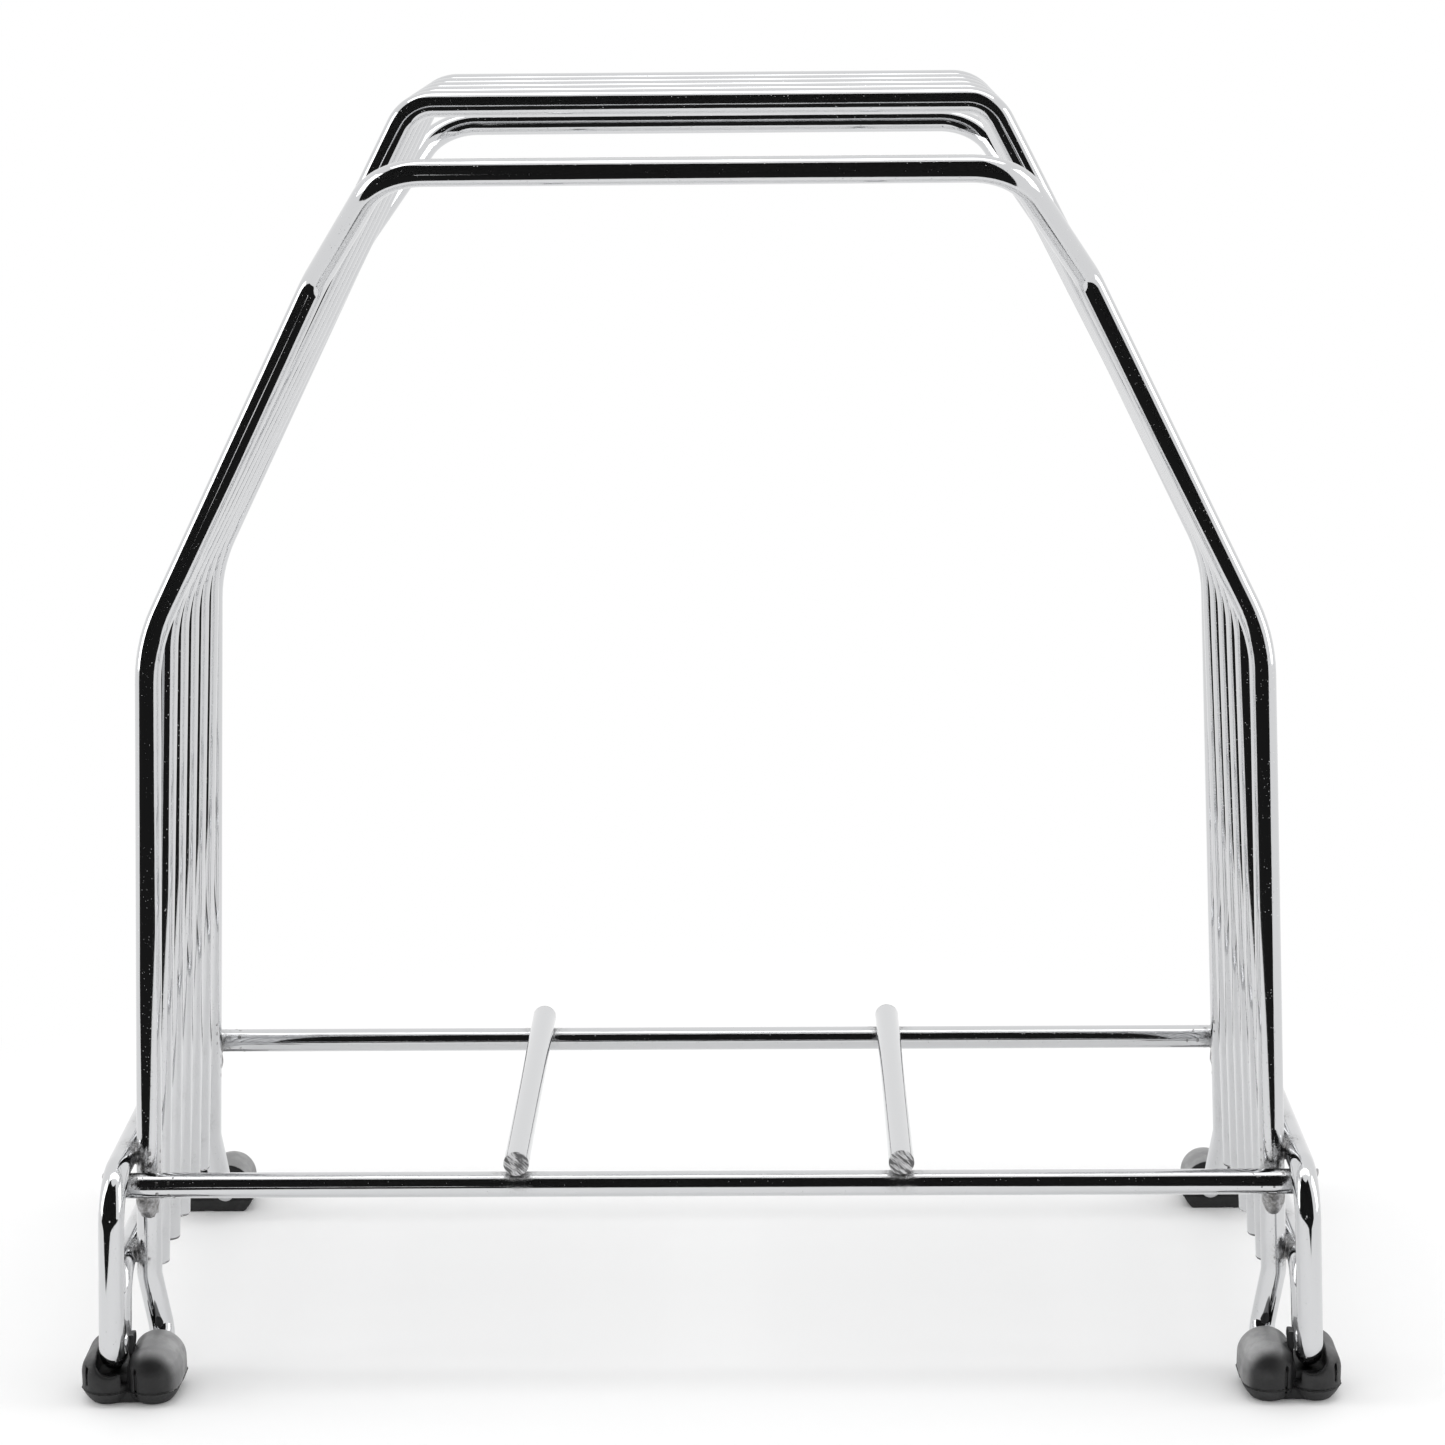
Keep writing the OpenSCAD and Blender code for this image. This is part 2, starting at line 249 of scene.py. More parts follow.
class Shades:
    """The node tree of one material or of the world."""

    def __init__(self, owner):
        owner.use_nodes = True
        self.tree = owner.node_tree
        self.tree.nodes.clear()

    def node(self, kind, settings=None, sockets=None, out=0):
        """Adds a node, first its settings and then its sockets, and returns one of its outputs."""
        made = self.tree.nodes.new(kind)
        for key, value in (settings or {}).items():
            setattr(made, key, value)
        for key, value in (sockets or {}).items():
            self.feed(made.inputs[key], value)
        return Value(self, made.outputs[out]) if len(made.outputs) else None

    def feed(self, socket, value):
        if isinstance(value, Value):
            self.tree.links.new(value.socket, socket)
        elif socket.type == "RGBA":
            socket.default_value = (*value, 1)[:4]
        else:
            socket.default_value = value

    def seen(self):
        """1 for the camera and for what metal or glass shows, 0 for the light that falls on things."""
        camera, glossy, through = (self.node("ShaderNodeLightPath", out=f"Is {kind} Ray")
                                   for kind in ("Camera", "Glossy", "Transmission"))
        return (camera + glossy + through).clamped()

    def mix(self, mask, first, second):
        """A colour that goes from first to second with mask."""
        return self.node("ShaderNodeMix", {"data_type": "RGBA"},
                         {0: mask, MIX_FIRST: first, MIX_SECOND: second}, out=MIX_RESULT)

    def split(self, vector, axes):
        """The parts of a vector along the named axes."""
        return [self.node("ShaderNodeSeparateXYZ", None, {"Vector": vector}, out=axis) for axis in axes]

    def cells(self, vector, scale, out="Distance"):
        """Scattered round cells: the distance from a cell's middle, or the cell's own colour."""
        return self.node("ShaderNodeTexVoronoi", None, {"Vector": vector, "Scale": scale}, out=out)

    def noise(self, vector, scale, detail=2.0, roughness=0.5):
        return self.node("ShaderNodeTexNoise", None,
                         {"Vector": vector, "Scale": scale, "Detail": detail, "Roughness": roughness})

    def stretched(self, vector, scale):
        return self.node("ShaderNodeMapping", None, {"Vector": vector, "Scale": scale})

    def turned(self, vector, turn, scale):
        """The vector turned about the depth axis and then stretched."""
        turned = self.node("ShaderNodeVectorRotate", {"rotation_type": "Y_AXIS"},
                           {"Vector": vector, "Angle": turn})
        return self.stretched(turned, scale)

    def place(self, kind="Object"):
        return self.node("ShaderNodeTexCoord", out=kind)

    def bump(self, height, distance):
        return self.node("ShaderNodeBump", None, {"Height": height, "Distance": distance, "Strength": 1.0})

    def surface(self, **sockets):
        shader = self.node("ShaderNodeBsdfPrincipled", None,
                           {key.replace("_", " "): value for key, value in sockets.items()})
        self.node("ShaderNodeOutputMaterial", None, {"Surface": shader})


def material(name):
    return bpy.data.materials.get(name)


def new_material(name):
    return Shades(bpy.data.materials.new(name))


def bright_chrome(finish):
    """Plated wire: fine draw lines, scattered pits, and dull stained plating near the welds."""
    s = new_material("bright_chrome")
    place = s.place()
    heat = s.node("ShaderNodeAttribute", {"attribute_name": "weld_heat"}, out="Fac")
    pit_scale = 1300.0
    few_cells = s.cells(place, pit_scale, "Color").between(0.54, 0.56)
    patches = s.noise(place, 130.0, 3.0).between(0.40, 0.52)
    pits = (1 - s.cells(place, pit_scale).between(0.07, 0.19)) * few_cells * patches
    draw_lines = s.noise(s.stretched(s.place("UV"), (40.0, 1500.0, 1.0)), 1.0, 3.0, 0.6)
    clouds = s.noise(place, 35.0, 4.0, 0.6)
    speckle = s.noise(place, 1400.0, 3.0, 0.7).between(0.45, 0.6)
    stain = (heat * (0.25 + speckle * 0.6) + pits * 0.08).clamped()
    s.surface(
        Base_Color=s.mix(stain, finish.chrome, finish.tarnish),
        Metallic=1.0,
        Roughness=(finish.gloss + clouds * 0.035 + pits * 0.4 + heat * 0.22).clamped(),
        Normal=s.bump(draw_lines * 0.45 - pits * 1.8 + heat * speckle * 2.0 + clouds * 0.5, 0.000012),
    )


def sheared_steel(finish):
    """A cut wire end: dark steel with diagonal tear marks."""
    s = new_material("sheared_steel")
    place = s.place()
    tears = s.noise(s.turned(place, 0.8, (1500.0, 300.0, 260.0)), 1.0, 3.0, 0.6)
    grain = s.noise(place, 2500.0, 3.0, 0.7)
    bare_steel = (0.62, 0.62, 0.63)
    s.surface(
        Base_Color=s.mix(tears.between(0.44, 0.6), finish.sheared, bare_steel),
        Metallic=0.1,
        Roughness=(0.38 + grain * 0.3).clamped(),
        Normal=s.bump(tears + grain * 0.4, 0.00008),
    )


def weld_metal(finish):
    """Plated weld bead: lumpy, dull and stained in its hollows."""
    s = new_material("weld_metal")
    place = s.place()
    lumps = s.noise(place, 700.0, 4.0, 0.65)
    specks = s.noise(place, 2200.0, 2.0, 0.6)
    clean = (lumps.between(0.35, 0.65) * 0.6 + specks.between(0.4, 0.7) * 0.4).clamped()
    s.surface(
        Base_Color=s.mix(clean, finish.tarnish, finish.weld),
        Metallic=1.0,
        Roughness=(0.2 + lumps * 0.25).clamped(),
        Normal=s.bump(lumps + specks * 0.3, 0.00016),
    )


def moulded_rubber(finish, parting_z, toe_x):
    """Matt rubber: pale bloom, grain, scuffs and bubbles, a dark seam, a painted sheen on the tops and the
    inner lobe's flank, and painted shade on the low faces that look up.
    """
    s = new_material("moulded_rubber")
    place = s.place()
    across, height = s.split(place, "XZ")
    facing_out, facing_up = s.split(s.place("Normal"), "YZ")

    bloom = s.noise(place, 160.0, 5.0, 0.6).between(0.42, 0.75)
    grain = s.noise(place, 1600.0, 3.0, 0.6)
    scuffs = s.noise(s.stretched(place, (500.0, 120.0, 900.0)), 1.0, 4.0, 0.7).between(0.58, 0.78)
    bubbles = (1 - s.cells(place, 620.0).between(0.06, 0.16)) * s.noise(place, 300.0).between(0.52, 0.6)
    worn = (bloom * 0.45 + scuffs * 0.5 + bubbles * 0.8).clamped()

    # Painted sheen: tops and the inner lobe's flank get a paler colour for the light from above that they
    # would catch
    sideways = 1 - abs(facing_out).between(0.30, 0.80)
    inner_lobe = 1 - abs(across).between(toe_x + 0.001, toe_x + 0.004)
    top = facing_up.between(0.30, 0.90) * height.between(0.0085, 0.0105) * (0.3 + inner_lobe * 0.7)
    flank = inner_lobe * facing_up.between(-0.5, 0.3) * 0.8
    painted_sheen_mask = sideways * (top + flank).clamped() * (0.7 + bloom * 0.3)

    # Painted shade: low faces that look up, such as the pocket floor, are turned near black
    painted_hollow_shade = facing_up.between(0.3, 0.7) * (1 - height.between(0.0075, 0.0090))
    seam = 1 - abs(height - parting_z).between(0.0001, 0.0003)
    seam_line = seam * s.noise(place, 400.0).between(0.3, 0.5)

    old_rubber = s.mix(worn, finish.rubber, finish.dust)
    # The pale painted sheen laid over the rubber's own colour
    rubber_with_painted_sheen = s.mix(painted_sheen_mask, old_rubber, finish.painted_sheen)
    # Near black for the seam line and for the painted shade of the low hollows
    seam_and_painted_shade_black = (0.002, 0.002, 0.002)
    roughness = finish.rubber_roughness + grain * 0.22 - bloom * 0.10 + scuffs * 0.12 - painted_sheen_mask * 0.12
    s.surface(
        Base_Color=s.mix((seam_line + painted_hollow_shade).clamped(), rubber_with_painted_sheen, seam_and_painted_shade_black),
        Roughness=roughness.clamped(),
        Normal=s.bump(grain * 0.5 + scuffs * 0.5 + bubbles * 1.5 - seam * 2.0, 0.00009),
        IOR=1.5,
    )


def studio_floor(finish):
    """Pale floor that keeps the shadow near the rack and fades to plain white further off."""
    s = new_material("studio_floor")
    place = s.place()
    distance = s.node("ShaderNodeVectorMath", {"operation": "LENGTH"}, {0: place}, out="Value")
    far = distance.between(0.15, 0.30)
    clouds = s.noise(place, 9.0, 3.0)
    cloudy = (0.94, 0.94, 0.94)
    matt = s.node("ShaderNodeBsdfPrincipled", None,
                  {"Base Color": s.mix(clouds * 0.04, finish.floor, cloudy), "Roughness": 0.75})
    white = s.node("ShaderNodeEmission", None, {"Color": (1.0, 1.0, 1.0), "Strength": 1.0})
    shader = s.node("ShaderNodeMixShader", None, {0: far * s.seen(), 1: matt, 2: white})
    s.node("ShaderNodeOutputMaterial", None, {"Surface": shader})


def dark_card():
    """Matt black card, the dark side of the studio that bright metal reflects."""
    s = new_material("dark_card")
    s.surface(Base_Color=(0.012, 0.012, 0.012), Roughness=0.95, Specular_IOR_Level=0.0)


# Mesh building


STEP = 0.003  # between two rings of a straight wire
ARC = math.radians(4)  # between two rings of a bend
AROUND = 36  # points in a ring
TORN_RINGS = 3  # rings of a cut face that its tears move
TEAR = 0.00012  # depth of those tears
SHARP_EDGE = math.radians(40)


def put(name, mesh, replaces=()):
    """Places a finished mesh as a piece of the rack."""
    made = bpy.data.objects.new(name, mesh)
    bpy.context.scene.collection.objects.link(made)
    mesh.shade_smooth()
    mesh.set_sharp_from_angle(angle=SHARP_EDGE)
    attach(made, BODY)
    if replaces:
        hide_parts(*replaces)


def arch_y(number):
    """Where an arch stands, counted from 0 for the front end arch."""
    return (number - (ARCHES - 1) / 2) * bpy.context.scene.rack_sizes.pitch


def leg_x(z):
    """How far an end arch's leg stands from the middle at a height."""
    s = bpy.context.scene.rack_sizes
    return s.leg_half + math.tan(s.splay) * (s.rail_z - z)


def divider_x(z):
    """How far a divider's leg stands from the middle at a height."""
    s = bpy.context.scene.rack_sizes
    return s.divider_leg + math.tan(s.divider_splay) * (s.rail_z - z)


def loop_x(z):
    """How far a side loop stands from the middle at a height."""
    s = bpy.context.scene.rack_sizes
    return leg_x(z) + (s.wire - s.weld_sink) / math.cos(s.splay)


def mirrored(path):
    """The same path on the other side of the rack, read backwards."""
    return [Vector((-p.x, p.y, p.z)) for p in reversed(path)]


def route(corners, radii):
    """Points along the middle of a wire that is bent at each inner corner."""
    points = [corners[0]]
    for before, corner, after, radius in zip(corners, corners[1:], corners[2:], radii[1:]):
        along, leaving = (corner - before).normalized(), (after - corner).normalized()
        turn = along.angle(leaving)
        start = corner - along * radius * math.tan(turn / 2)
        inward = (leaving - along * leaving.dot(along)).normalized()
        middle = start + inward * radius
        count = max(4, math.ceil(turn / ARC))
        for i in range(count + 1):
            a = turn * i / count
            points.append(middle - inward * radius * math.cos(a) + along * radius * math.sin(a))
    points.append(corners[-1])
    spaced = [points[0]]
    for point in points[1:]:
        gap = point - spaced[-1]
        count = max(1, math.ceil(gap.length / STEP - 0.5))
        first = spaced[-1]
        spaced += [first + gap * i / count for i in range(1, count + 1)]
    return spaced


def rings_along(points, closed):
    """A direction and a side direction at each point, carried along without twist."""
    points = np.array(points)
    if closed:
        ahead, behind = np.roll(points, -1, 0), np.roll(points, 1, 0)
    else:
        ahead, behind = np.vstack([points[1:], points[-1:]]), np.vstack([points[:1], points[:-1]])
    along = ahead - behind
    along /= np.linalg.norm(along, axis=1)[:, None]
    side = np.cross(along[0], (0.0, 1.0, 0.0))
    if np.linalg.norm(side) < 0.1:
        side = np.cross(along[0], (0.0, 0.0, 1.0))
    sides = []
    for direction in along:
        side = side - direction * side.dot(direction)
        side /= np.linalg.norm(side)
        sides.append(side)
    return points, along, np.array(sides)


def sheared_ends(points, along, side, radius, bevel):
    """Adds the rings of a bevelled cut to both ends of a wire, and tells how many rings each end gets."""
    cap = [(bevel * 0.35, radius - bevel * 0.3), (0.0, radius - bevel), (0.0, radius * 0.62),
           (0.0, radius * 0.3), (0.0, radius * 0.02)]
    head = [points[0] + along[0] * back for back, r in reversed(cap)]
    tail = [points[-1] - along[-1] * back for back, r in cap]
    start, stop = points[0] + along[0] * bevel, points[-1] - along[-1] * bevel
    next_to = bevel * 0.4
    shank = np.vstack([start, start + along[0] * next_to, points[1:-1], stop - along[-1] * next_to, stop])
    rims = [r for back, r in cap]
    size = np.concatenate([rims[::-1], np.full(len(shank), radius), rims])
    added = len(cap) + 1
    along, side = (np.vstack([v[:1]] * added + [v] + [v[-1:]] * added) for v in (along, side))
    return np.vstack([*head, shank, *tail]), along, side, size, added


def tear(place):
    """How far a cut face stands out at a place."""
    coarse, fine = (noise.noise(Vector(place) * scale) for scale in (900.0, 2400.0))
    return coarse * TEAR + fine * TEAR / 2 - TEAR


def bent_wire(name, points, closed=False):
    """A smooth round wire along points, with sheared and bevelled ends where it is open."""
    s = bpy.context.scene.rack_sizes
    radius = s.wire / 2
    points, along, side = rings_along(points, closed)
    size = np.full(len(points), radius)
    if not closed:
        points, along, side, size, cut_rows = sheared_ends(points, along, side, radius, s.bevel)
    up = np.cross(along, side)
    turn = np.linspace(0, 2 * math.pi, AROUND, endpoint=False)
    ring = side[:, None] * np.cos(turn)[None, :, None] + up[:, None] * np.sin(turn)[None, :, None]
    verts = points[:, None] + ring * size[:, None, None]
    rows = len(points)
    if not closed:
        for i in range(TORN_RINGS):
            for row, face in ((i, -1), (rows - 1 - i, 1)):
                for k, v in enumerate(verts[row]):
                    verts[row, k] = v + along[row] * face * tear(v)
    faces, kinds, uvs = [], [], []
    reach = np.concatenate([[0], np.cumsum(np.linalg.norm(np.diff(points, axis=0), axis=1))])
    for i in range(rows if closed else rows - 1):
        j = (i + 1) % rows
        cut = not closed and (i < cut_rows or i >= rows - 1 - cut_rows)
        a, b = reach[i], reach[j] if j else reach[i] + STEP
        for k in range(AROUND):
            m = (k + 1) % AROUND
            faces.append((i * AROUND + k, i * AROUND + m, j * AROUND + m, j * AROUND + k))
            kinds.append(1 if cut else 0)
            c, d = turn[k] * radius, (turn[k] + turn[1]) * radius
            uvs += [(a, c), (a, d), (b, d), (b, c)]
    if not closed:
        faces += [tuple(reversed(range(AROUND))), tuple((rows - 1) * AROUND + k for k in range(AROUND))]
        kinds += [1, 1]
        uvs += [(0.0, 0.0)] * (2 * AROUND)
    flat = verts.reshape(-1, 3)
    mesh = bpy.data.meshes.new(name)
    mesh.from_pydata(flat.tolist(), [], faces)
    mesh.uv_layers.new(name="along_wire").data.foreach_set("uv", np.array(uvs, dtype=float).ravel())
    mesh.materials.append(material("bright_chrome"))
    mesh.materials.append(material("sheared_steel"))
    mesh.polygons.foreach_set("material_index", kinds)
    mesh.attributes.new("weld_heat", "FLOAT", "POINT").data.foreach_set("value", weld_heat(flat))
    mesh.validate()
    return mesh


def skin(field, low, high, cell):
    """A smooth quad mesh over the surface where field is zero. field is below zero inside."""
    low, high = np.array(low), np.array(high)
    counts = np.ceil((high - low) / cell).astype(int) + 1
    axes = [low[i] + cell * np.arange(counts[i]) for i in range(3)]
    value = field(*np.meshgrid(*axes, indexing="ij"))
    inside = value < 0
    cells = counts - 1
    corners = [(a, b, c) for a in (0, 1) for b in (0, 1) for c in (0, 1)]

    def part(array, corner):
        return array[tuple(slice(o, o + n) for o, n in zip(corner, cells))]

    # One point in each cell that the surface crosses
    total, hits = np.zeros((*cells, 3)), np.zeros(cells)
    for a in corners:
        for axis in range(3):
            if a[axis]:
                continue
            b = tuple(1 if i == axis else v for i, v in enumerate(a))
            fa, fb = part(value, a), part(value, b)
            crossed = part(inside, a) != part(inside, b)
            t = np.where(crossed, fa / np.where(crossed, fa - fb, 1.0), 0.0)
            for i in range(3):
                total[..., i] += np.where(crossed, a[i] + (t if i == axis else 0.0), 0.0)
            hits += crossed
    used = hits > 0
    index = np.full(tuple(cells), -1)
    index[used] = np.arange(used.sum())
    verts = low + (np.argwhere(used) + total[used] / hits[used][:, None]) * cell
    # One face round each edge that the surface crosses
    faces = []
    for axis in range(3):
        u, v = [i for i in range(3) if i != axis]
        for place in np.argwhere(np.diff(inside, axis=axis)):
            if place[u] == 0 or place[v] == 0 or place[u] >= cells[u] or place[v] >= cells[v]:
                continue
            quad = []
            for du, dv in ((0, 0), (1, 0), (1, 1), (0, 1)):
                beside = place.copy()
                beside[u] -= du
                beside[v] -= dv
                quad.append(int(index[tuple(beside)]))
            outward = bool(inside[tuple(place)]) == (axis != 1)
            faces.append(quad if outward else quad[::-1])
    # Three steps towards the true surface
    nudge = cell * 0.2
    for _ in range(3):
        here = field(*verts.T)
        slope = np.stack([field(*(verts + nudge * np.eye(3)[i]).T) - here for i in range(3)], 1) / nudge
        verts -= slope * (np.clip(here, -cell, cell) / np.maximum((slope**2).sum(1), 0.3))[:, None]
    return verts, faces


def soft_min(a, b, k):
    """Joins two shapes with a fillet of about size k."""
    h = np.clip(0.5 + 0.5 * (b - a) / k, 0, 1)
    return b * (1 - h) + a * h - k * h * (1 - h)


def soft_max(a, b, k):
    """What two shapes share, with its edge rounded by about size k."""
    return -soft_min(-a, -b, k)


def slab(off, half):
    """A flat layer, as a field, where off is the distance from its middle."""
    return np.abs(off) - half


def block(x, y, z, low, high):
    """A box, as a field."""
    off = [np.abs(v - (a + b) / 2) - (b - a) / 2 for v, a, b in zip((x, y, z), low, high)]
    outside = np.sqrt(sum(np.maximum(o, 0) ** 2 for o in off))
    return outside + np.minimum(np.maximum(np.maximum(off[0], off[1]), off[2]), 0)


# Welds


# Fine shape of a weld bead, in metres
BEAD_CELL = 0.00038
FILLET = 0.0015
FULLNESS, RAIL_FULLNESS = 0.8, 0.3  # shares of that fillet, on legs and on rails and runners
BEAD_REACH, DROP_REACH = 1.55, 3.1  # in wire radii, without and with a drop
DROP_HALVES = (0.0028, 0.0021, 0.0044)
DROP_IN, DROP_DOWN = 0.0022, 0.0016
DROP_SLOPE, DROP_BLEND = 0.0023, 0.0008
LUMPS, WORN_DOWN = 0.00009, 0.00005


def welds():
    """Each weld as two wires that cross: a point on each and its direction."""
    s = bpy.context.scene.rack_sizes
    found = []
    end = arch_y(ARCHES - 1)
    sideways, deep = Vector((1, 0, 0)), Vector((0, 1, 0))
    for side in (-1, 1):
        leg = Vector((-side * math.tan(s.splay), 0, 1)).normalized()
        divider = Vector((-side * math.tan(s.divider_splay), 0, 1)).normalized()
        for i in range(ARCHES):
            y = arch_y(i)
            place, lean = (leg_x, leg) if i in (0, ARCHES - 1) else (divider_x, divider)
            for z in (s.rail_z, s.lower_rail_z):
                found.append((Vector((side * place(z), y, z)), lean,
                              Vector((side * loop_x(z), y, z)), deep))
        for face in (-1, 1):
            y = face * s.cross_y
            x = side * leg_x(s.cross_z)
            found.append((Vector((x, face * end, s.cross_z)), leg, Vector((x, y, s.cross_z)), sideways))
            for x in (side * s.runner_half, side * loop_x(s.rail_z)):
                found.append((Vector((x, y, s.rail_z)), deep, Vector((x, y, s.cross_z)), sideways))
    return found


def weld_heat(verts):
    """How much the plating near a weld is dulled, from 0 to 1, at each point."""
    s = bpy.context.scene.rack_sizes
    places = np.array([(a + c) / 2 for a, b, c, d in welds()])
    near = np.full(len(verts), 1.0)
    for place in places:
        near = np.minimum(near, np.linalg.norm(verts - place, axis=1))
    return np.clip(1 - (near - s.wire * 0.45) / (s.wire * 0.55), 0, 1) ** 1.5


def ripple(x, y, z, size, seed):
    """A cheap lumpy field that is the same on each run."""
    level = np.sin(x * size + seed) * np.sin(y * size * 1.3 + seed * 2)
    upright = np.sin(z * size * 0.9 + seed * 3) * np.sin((x + y) * size * 0.7)
    return (level + upright) / 2


def weld_bead(weld, seed):
    """A small fillet of weld metal between two crossed wires, with a drop on the end arch legs."""
    s = bpy.context.scene.rack_sizes
    first, along, second, across = (np.array(v) for v in weld)
    middle = (first + second) / 2
    radius = s.wire / 2
    on_rail = abs(along[1]) > 0.5
    on_runner = on_rail and abs(first[0]) <= s.leg_half * 0.6
    on_leg = not on_rail and abs(across[0]) > 0.5
    fullness = RAIL_FULLNESS if on_rail else FULLNESS
    reach = DROP_REACH if on_leg else BEAD_REACH
    drop_y = second[1] - math.copysign(DROP_IN, second[1])
    drop = np.array([first[0], drop_y, second[2] - radius - DROP_DOWN])

    def field(x, y, z):
        at = np.stack([x, y, z], -1)

        def tube(point, direction):
            off = at - point
            off = off - direction * (off @ direction)[..., None]
            return np.linalg.norm(off, axis=-1) - radius

        far = np.linalg.norm(at - middle, axis=-1)
        fillet = FILLET * np.clip(1.4 - far / (radius * 1.25), 0.12, 1)
        joined = soft_min(tube(first, along), tube(second, across), fillet * fullness)
        if on_runner:
            # The bead stays low and behind the runner's end, whose cut face is a clean disc
            below = z - first[2] + radius * 0.55
            behind = np.abs(y) - abs(second[1]) - radius * 0.45
            joined = np.maximum(joined, np.maximum(below, behind))
        if on_leg:
            off = (at - drop) / np.array(DROP_HALVES)
            joined = soft_min(joined, (np.linalg.norm(off, axis=-1) - 1) * DROP_SLOPE, DROP_BLEND)
        lumps = ripple(x, y, z, 2600.0, seed) * LUMPS
        return np.maximum(joined + WORN_DOWN + lumps, far - radius * reach)

    half = radius * (reach + 0.15)
    return skin(field, middle - half, middle + half, BEAD_CELL)


# Pieces


class MakeFinishes(bpy.types.Operator):
    """Make the chrome, steel, weld, rubber and studio materials"""

    bl_idname = "rack.finishes"
    bl_label = "Finishes"

    def execute(self, context):
        finish = context.scene.rack_finish
        bright_chrome(finish)
        sheared_steel(finish)
        weld_metal(finish)
        sizes = context.scene.rack_sizes
        moulded_rubber(finish, sizes.parting_z, leg_x(sizes.kink_z) - sizes.toe_in)
        studio_floor(finish)
        dark_card()
        return {"FINISHED"}


class MakeDividerArches(bpy.types.Operator):
    """Bend the flat divider arches"""

    bl_idname = "rack.divider_arches"
    bl_label = "Divider Arches"

    def execute(self, context):
        s = context.scene.rack_sizes
        for number in range(1, DIVIDERS + 1):
            y = arch_y(number)
            right = [Vector((s.divider_half, y, s.divider_top)),
                     Vector((divider_x(s.divider_knee), y, s.divider_knee)),
                     Vector((divider_x(s.divider_foot), y, s.divider_foot))]
            radii = [s.divider_corner_r, s.knee_r, 0]
            points = route(mirrored(right) + right, radii[::-1] + radii)
            node = f"divider_arch_{number}"
            put(f"divider_wire_{number}", bent_wire(node, points), replaces=[node])
        return {"FINISHED"}


class MakeEndArches(bpy.types.Operator):
    """Bend the two end arches, whose tops lean outwards and whose toes sit in the shoes"""

    bl_idname = "rack.end_arches"
    bl_label = "End Arches"

    def execute(self, context):
        s = context.scene.rack_sizes
        end = arch_y(ARCHES - 1)
        top_y = -spot("front_arch", 1, 0) - s.wire / 2
        toe_x = leg_x(s.kink_z) - s.toe_in
        right = [Vector(p) for p in (
            (s.end_half, -top_y, s.end_top),
            (s.lean_half, -end, s.lean_z),
            (leg_x(s.end_knee), -end, s.end_knee),
            (leg_x(s.kink_z), -end, s.kink_z),
            (toe_x, -end, s.toe_z),
            (toe_x, -end - s.toe_len, s.toe_z))]
        radii = [s.end_corner_r, s.lean_r, s.knee_r, s.kink_r, s.toe_r, 0]
        corners = mirrored(right) + right
        for name, face in (("front", 1), ("rear", -1)):
            turned = [Vector((p.x * face, p.y * face, p.z)) for p in corners]
            mesh = bent_wire(f"{name}_arch", route(turned, radii[::-1] + radii))
            put(f"{name}_end_wire", mesh, replaces=[f"{name}_arch"])
        return {"FINISHED"}


class MakeSideLoops(bpy.types.Operator):
    """Bend the two closed side loops"""

    bl_idname = "rack.side_loops"
    bl_label = "Side Loops"

    def execute(self, context):
        s = context.scene.rack_sizes
        end = arch_y(ARCHES - 1)
        outer, inner = end + s.loop_outer, end + s.loop_inner
        front = [(-outer, s.rail_z), (-outer, s.loop_foot), (-inner, s.loop_foot), (-inner, s.lower_rail_z)]
        flat = [(0, s.rail_z), *front, *[(-y, z) for y, z in reversed(front)], (0, s.rail_z)]
        bends = [s.upper_bend_r, s.foot_bend_r, s.foot_bend_r, s.lower_bend_r]
        for name, side in (("left", -1), ("right", 1)):
            corners = [Vector((side * loop_x(z), y, z)) for y, z in flat]
            points = route(corners, [0, *bends, *bends[::-1], 0])[:-1]
            put(f"{name}_loop_wire", bent_wire(f"{name}_loop", points, closed=True),
                replaces=[f"{name}_side_loop"])
        return {"FINISHED"}


class MakeStraightWires(bpy.types.Operator):
    """Cut the two cross wires and the two runners"""

    bl_idname = "rack.straight_wires"
    bl_label = "Cross Wires and Runners"

    def execute(self, context):
        s = context.scene.rack_sizes
        runner = [(s.runner_half, -s.runner_end, s.rail_z), (s.runner_half, s.runner_end, s.rail_z)]
        cross = [(-s.cross_end, s.cross_y, s.cross_z), (s.cross_end, s.cross_y, s.cross_z)]
        straight = {
            "front_cross": [(x, -y, z) for x, y, z in cross],
            "rear_cross": cross,
            "left_runner": [(-x, y, z) for x, y, z in runner],
            "right_runner": runner,
        }
        for name, ends in straight.items():
            node = f"{name}_wire" if name.endswith("cross") else name
            mesh = bent_wire(name, route([Vector(p) for p in ends], [0, 0]))
            put(f"{name}_bar", mesh, replaces=[node])
        return {"FINISHED"}


class MakeWelds(bpy.types.Operator):
    """Lay a small bead of weld metal wherever two wires cross"""

    bl_idname = "rack.welds"
    bl_label = "Welds"

    def execute(self, context):
        verts, faces = [], []
        for seed, weld in enumerate(welds()):
            points, quads = weld_bead(weld, seed * 1.7)
            faces += [[i + len(verts) for i in quad] for quad in quads]
            verts += points.tolist()
        mesh = bpy.data.meshes.new("weld_beads")
        mesh.from_pydata(verts, [], faces)
        mesh.materials.append(material("weld_metal"))
        put("weld_beads", mesh)
        return {"FINISHED"}


# Fine shape of a shoe, in metres
SHOE_CELL = 0.00036
SOFT, FIRM, FINE, CRISP = 0.0005, 0.0004, 0.0002, 0.0001  # how far two parts run into each other
